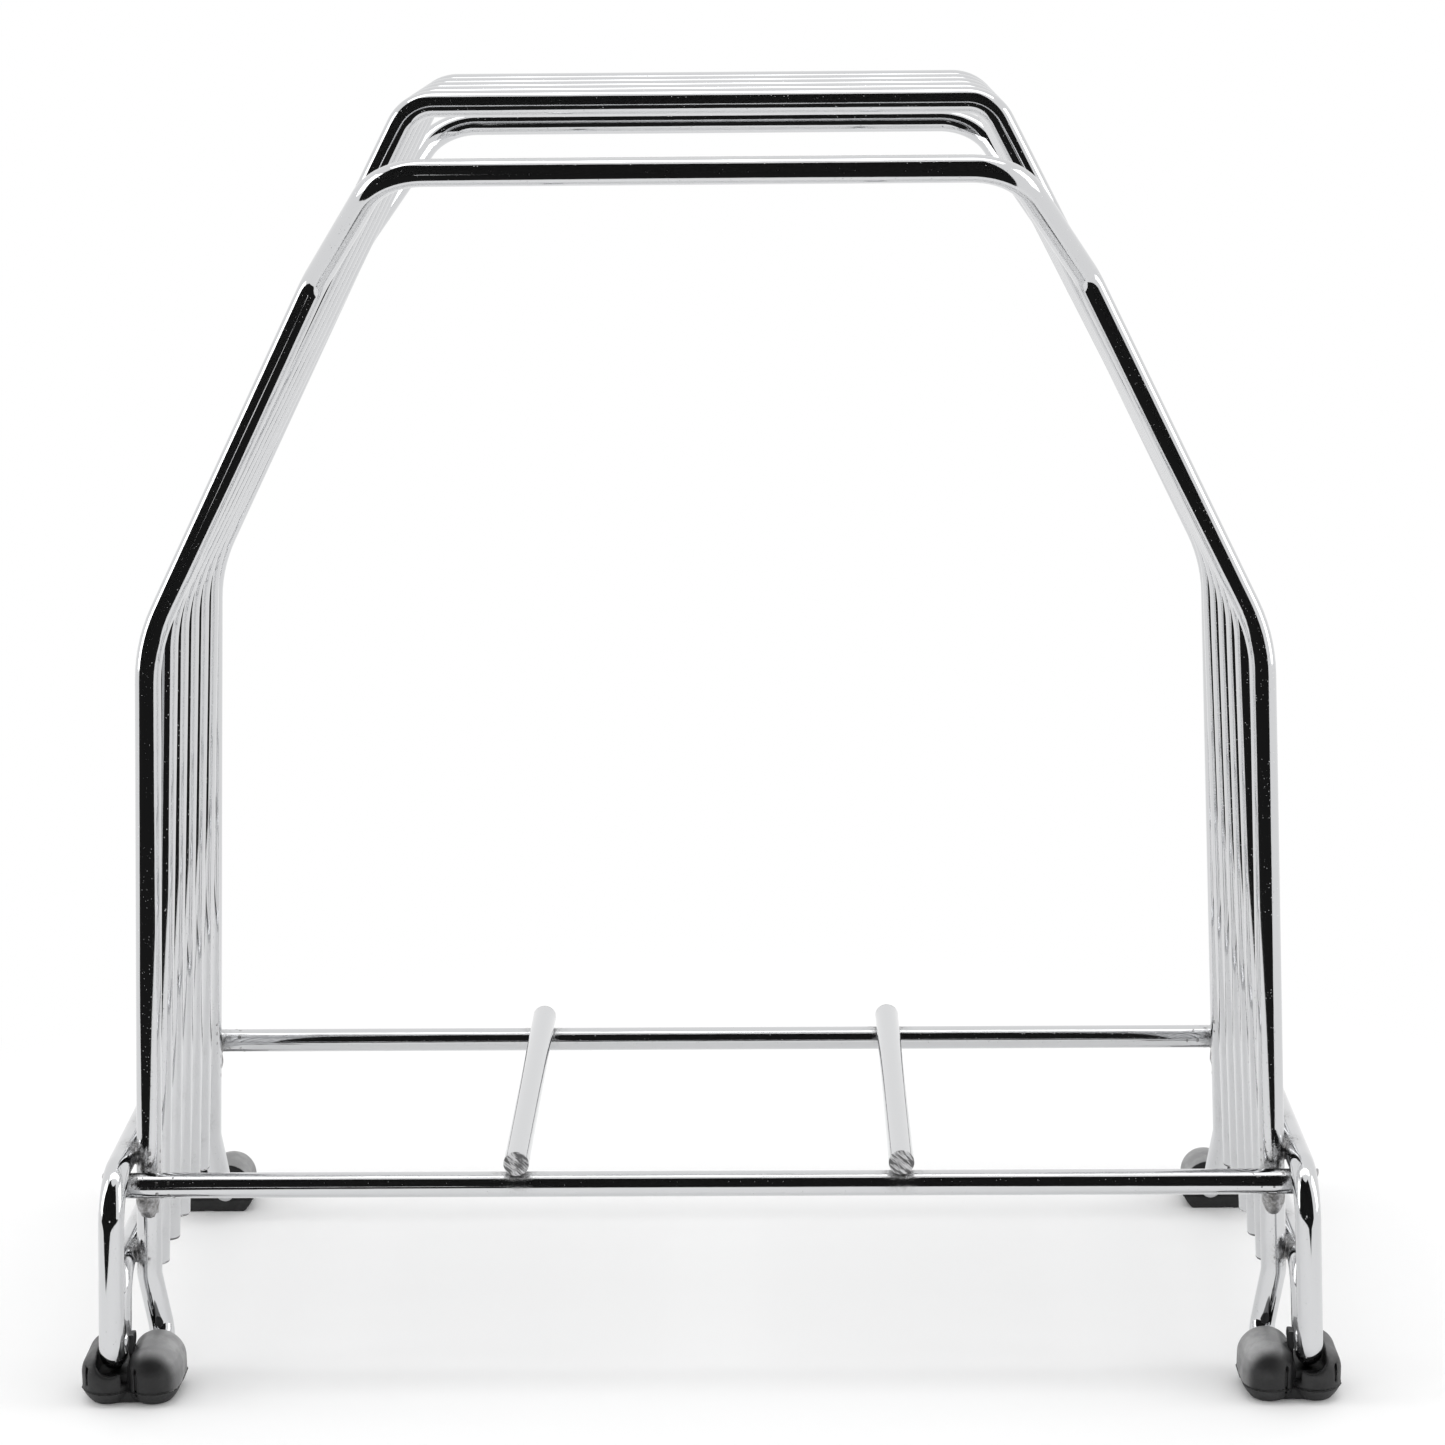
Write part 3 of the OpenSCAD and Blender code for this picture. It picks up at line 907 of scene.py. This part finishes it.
# Upright strips on a lobe: distance beyond its middle, half width, middle height, half height
FOLD, FOLD_PROUD = (0.0043, 0.0005, 0.0050, 0.0042), 0.00025
GROOVE, GROOVE_DEPTH = (0.0035, 0.00024, 0.0055, 0.0034), 0.0006
CRACK, CRACK_DEPTH, CRACK_LEAN = (0.0046, 0.0002, 0.0072, 0.0022), 0.0007, 0.06
WEB_AHEAD, WEB_LOW, WEB_UNDER, WEB_ROUND = 0.0030, 0.0005, 0.0010, 0.0004
SEAM_DOWN, SEAM_HALF, SEAM_PROUD = 0.0001, 0.00014, 0.00028
OPEN_SIDE_X, OPEN_SIDE_Z = 0.0056, 0.0092
OUTSIDE, ABOVE = 0.01, 0.03  # past the end of the shoe, and over its top
BORE_GRIP = 0.99
TONGUE_BLEND, TORN_EDGE = 0.0003, 0.0004
UNEVEN = 0.00006


def strip(limit, across, z, shape):
    """The part of a field that lies in an upright strip."""
    beyond, half_width, middle, half_height = shape
    return np.maximum(np.maximum(limit, slab(across - beyond, half_width)), slab(z - middle, half_height))


def shoe_field(s):
    """The front right shoe as a field, in metres, below zero inside the rubber."""
    end = arch_y(ARCHES - 1)
    toe_x = leg_x(s.kink_z) - s.toe_in
    foot_x = loop_x(s.loop_foot)
    outer_x = foot_x + s.lobe_out
    front, back = -end - s.lobe_front, -end - s.lobe_back
    nose = front - s.outer_lobe_r
    radius = s.wire / 2
    low_x, high_x = foot_x - s.slot_w / 2, foot_x + s.slot_w / 2
    rim_back = nose + s.rim_t
    pocket_back = rim_back + s.pocket_len

    def lobe(x, y, z, middle, r):
        """An upright lobe, round in front and on top, with a bevel down to the sole."""
        flat = np.hypot(x - middle, np.maximum(front - y, 0))
        dome = np.sqrt(flat**2 + np.maximum(z - s.toe_z, 0) ** 2) - r
        low = np.clip((s.parting_z - z) / s.parting_z, 0, 1.2)
        return dome + s.sole_bevel * low**1.5

    def lobes(x, y, z):
        """The two lobes, with the fold and the groove of the inner one and the crack of the outer one."""
        body = soft_min(lobe(x, y, z, toe_x, s.inner_lobe_r), lobe(x, y, z, outer_x, s.outer_lobe_r), SOFT)
        shell = lobe(x, y, z, toe_x, s.inner_lobe_r + FOLD_PROUD)
        body = soft_min(body, strip(shell, x - toe_x, z, FOLD), FINE)
        depth = -lobe(x, y, z, toe_x, s.inner_lobe_r - GROOVE_DEPTH)
        body = soft_max(body, -strip(depth, x - toe_x, z, GROOVE), FINE)
        depth = -lobe(x, y, z, outer_x, s.outer_lobe_r - CRACK_DEPTH)
        return soft_max(body, -strip(depth, x - outer_x + z * CRACK_LEAN, z, CRACK), CRISP)

    def slot(x, y, z):
        """The room for the foot of the loop: rim, open inner side, pocket and trough."""
        # The rim is round below and open above
        rim = np.hypot(x - foot_x, np.minimum(z - s.rim_z - s.slot_w / 2, 0)) - s.slot_w / 2
        rim = np.maximum(rim, y - pocket_back)
        open_side = block(x, y, z, (toe_x + OPEN_SIDE_X, nose - OUTSIDE, OPEN_SIDE_Z),
                          (foot_x, back + OUTSIDE, ABOVE))
        pocket = block(x, y, z, (low_x, rim_back, s.pocket_z), (high_x, pocket_back, ABOVE))
        trough = block(x, y, z, (low_x, rim_back, s.loop_foot - radius), (high_x, back + OUTSIDE, ABOVE))
        return np.minimum(np.minimum(rim, open_side), np.minimum(pocket, trough))

    def tongue(x, y, z):
        """The tongue beside the foot of the loop, with a torn edge."""
        middle = -end - (s.loop_outer + s.loop_inner) / 2
        whole = block(x, y, z, (low_x - s.tongue_t, middle - s.tongue_w / 2, s.parting_z),
                      (low_x, middle + s.tongue_w / 2, s.tongue_z - TONGUE_BLEND))
        return whole + ripple(x, y, z, 1500.0, 0.4) * TORN_EDGE

    def field(x, y, z):
        body = lobes(x, y, z)
        web = block(x, y, z, (toe_x, front - WEB_AHEAD, WEB_LOW), (outer_x, back, s.parting_z - WEB_UNDER))
        body = soft_min(body, web - WEB_ROUND, FIRM)
        seam = slab(z - s.parting_z + SEAM_DOWN, SEAM_HALF)
        body = np.minimum(body, soft_max(body - SEAM_PROUD, seam, CRISP))
        body = soft_max(body, -z, FIRM)
        body = soft_max(body, y - back, SOFT)
        body = soft_max(body, -slot(x, y, z), SOFT)
        bore = np.maximum(np.hypot(x - toe_x, z - s.toe_z) - radius * BORE_GRIP, -(y + end + s.toe_len))
        body = soft_max(body, -bore, FIRM)
        body = soft_min(body, tongue(x, y, z), TONGUE_BLEND)
        return body + ripple(x, y, z, 420.0, 1.0) * UNEVEN

    return field


class MakeShoes(bpy.types.Operator):
    """Mould the four rubber shoes"""

    bl_idname = "rack.shoes"
    bl_label = "Shoes"

    def execute(self, context):
        s = context.scene.rack_sizes
        low, high = (Vector(v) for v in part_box("front_right_shoe"))
        margin = Vector((0.001, 0.001, 0.001))
        verts, faces = skin(shoe_field(s), low - margin, high + margin, SHOE_CELL)
        verts = np.clip(verts, np.array(low), np.array(high))
        for name, x, y in (("front_right", 1, 1), ("front_left", -1, 1),
                           ("rear_right", 1, -1), ("rear_left", -1, -1)):
            turned = verts * (x, y, 1)
            quads = faces if x * y > 0 else [quad[::-1] for quad in faces]
            mesh = bpy.data.meshes.new(f"{name}_rubber")
            mesh.from_pydata(turned.tolist(), [], quads)
            mesh.materials.append(material("moulded_rubber"))
            put(f"{name}_rubber", mesh, replaces=[f"{name}_shoe"])
        return {"FINISHED"}


def stage_mesh(name, verts, faces, finish):
    """Places a floor or a card of the studio."""
    mesh = bpy.data.meshes.new(name)
    mesh.from_pydata(verts, [], faces)
    mesh.materials.append(material(finish))
    made = bpy.data.objects.new(name, mesh)
    bpy.context.scene.collection.objects.link(made)
    return made


def lamp(name, power, size, place):
    """Hangs a rectangular lamp that points at the middle of the rack."""
    data = bpy.data.lights.new(name, "AREA")
    data.shape, data.energy = "RECTANGLE", power
    data.size, data.size_y = size
    made = bpy.data.objects.new(name, data)
    made.location = place
    aim = Vector((0, 0, 0.12))
    made.rotation_euler = (Vector(place) - aim).to_track_quat("Z", "Y").to_euler()
    bpy.context.scene.collection.objects.link(made)


class MakeStudio(bpy.types.Operator):
    """Set the floor, the lamps, the dark cards and the camera"""

    bl_idname = "rack.studio"
    bl_label = "Studio"

    def execute(self, context):
        studio = context.scene.rack_studio
        scene = context.scene
        scene.view_settings.view_transform = "Standard"
        sides, reach = 64, 8
        turns = np.linspace(0, 2 * math.pi, sides, endpoint=False)
        around = [(math.cos(turn) * reach, math.sin(turn) * reach, 0) for turn in turns]
        stage_mesh("floor", around, [tuple(range(sides))], "studio_floor")
        self.cards()
        lamp("overhead_lamp", studio.key, (1.6, 0.3), (0, 0.0, 1.25))
        lamp("left_lamp", studio.side, (0.45, 1.0), (-1.2, -0.1, 0.5))
        lamp("right_lamp", studio.side, (0.45, 1.0), (1.2, -0.1, 0.5))
        self.surroundings(scene, studio)
        self.camera(scene, studio)
        return {"FINISHED"}

    def cards(self):
        """The dark ground, wall and ceiling on the camera's side, which only bright metal sees."""
        left, right, steps = -76, 46, 32  # degrees either side of the front
        wall_r, ceiling_r = 1.15, 0.66
        ground_z, skirting_z, low_wall_z, ceiling_z = 0.002, 0.02, 0.08, 1.6
        near_r, drawn_in, drawn_in_by = 0.25, 0.025, 0.68
        back_from = 58  # degrees, beyond which the ground card draws back on the left
        gap = (16, 17)  # steps of the low wall that are left open
        rows = []
        for i in range(steps + 1):
            turn = math.radians(left + (right - left) * i / steps)
            closer = drawn_in * min(abs(math.sin(turn)) / drawn_in_by, 1)
            farther = near_r * max(0, -math.degrees(turn) - back_from) / (-left - back_from)
            ring = [(near_r - closer + farther, ground_z), (wall_r, ground_z), (wall_r, skirting_z),
                    (wall_r, low_wall_z), (wall_r, ceiling_z), (ceiling_r, ceiling_z)]
            rows.append([(math.sin(turn) * r, -math.cos(turn) * r, z) for r, z in ring])
        names = ("dark_ground", "dark_skirting", "dark_low_wall", "dark_wall", "dark_ceiling")
        for part, name in enumerate(names):
            verts = [row[part + k] for row in rows for k in (0, 1)]
            quads = [(2 * i, 2 * i + 1, 2 * i + 3, 2 * i + 2) for i in range(steps)
                     if name != "dark_low_wall" or i not in gap]
            card = stage_mesh(name, verts, quads, "dark_card")
            card.visible_camera = card.visible_diffuse = card.visible_shadow = False

    def surroundings(self, scene, studio):
        """White for the camera, and an even pale level for everything else."""
        world = bpy.data.worlds.new("studio_surroundings")
        scene.world = world
        s = Shades(world)
        level = studio.sky + (1 - studio.sky) * s.seen()
        sky = s.node("ShaderNodeBackground", None, {"Color": (1.0, 1.0, 1.0), "Strength": level})
        s.node("ShaderNodeOutputWorld", None, {"Surface": sky})

    def camera(self, scene, studio):
        data = bpy.data.cameras.new("camera")
        data.lens, data.sensor_width = studio.lens, 36.0
        made = bpy.data.objects.new("camera", data)
        turn = Matrix.Rotation(studio.aside, 4, "Z") @ Matrix.Rotation(math.pi / 2 - studio.down, 4, "X")
        made.matrix_world = Matrix.Translation(studio.camera) @ turn @ Matrix.Rotation(studio.roll, 4, "Z")
        scene.collection.objects.link(made)
        scene.camera = made


class RackPanel(bpy.types.Panel):
    """Lists the steps that build the rack, and its sizes, finishes and studio"""

    bl_idname = "VIEW3D_PT_file_rack"
    bl_label = "Wire File Rack"
    bl_space_type = "VIEW_3D"
    bl_region_type = "UI"
    bl_category = "File Rack"

    def draw(self, context):
        for step in STEPS:
            self.layout.operator(step.bl_idname)
        for group in (context.scene.rack_sizes, context.scene.rack_finish, context.scene.rack_studio):
            column = self.layout.box().column()
            for key in group.bl_rna.properties.keys():
                if key not in ("rna_type", "name"):
                    column.prop(group, key)


GROUPS = {"rack_sizes": RackSizes, "rack_finish": RackFinish, "rack_studio": RackStudio}
STEPS = (MakeFinishes, MakeDividerArches, MakeEndArches, MakeSideLoops, MakeStraightWires, MakeWelds,
         MakeShoes, MakeStudio)


def register():
    for cls in (*GROUPS.values(), *STEPS, RackPanel):
        bpy.utils.register_class(cls)
    for key, group in GROUPS.items():
        setattr(bpy.types.Scene, key, PointerProperty(type=group))


def unregister():
    for key in GROUPS:
        delattr(bpy.types.Scene, key)
    for cls in (RackPanel, *reversed(STEPS), *GROUPS.values()):
        bpy.utils.unregister_class(cls)


def main():
    register()
    for step in STEPS:
        group, name = step.bl_idname.split(".")
        getattr(getattr(bpy.ops, group), name)()


if __name__ == "__main__":
    main()
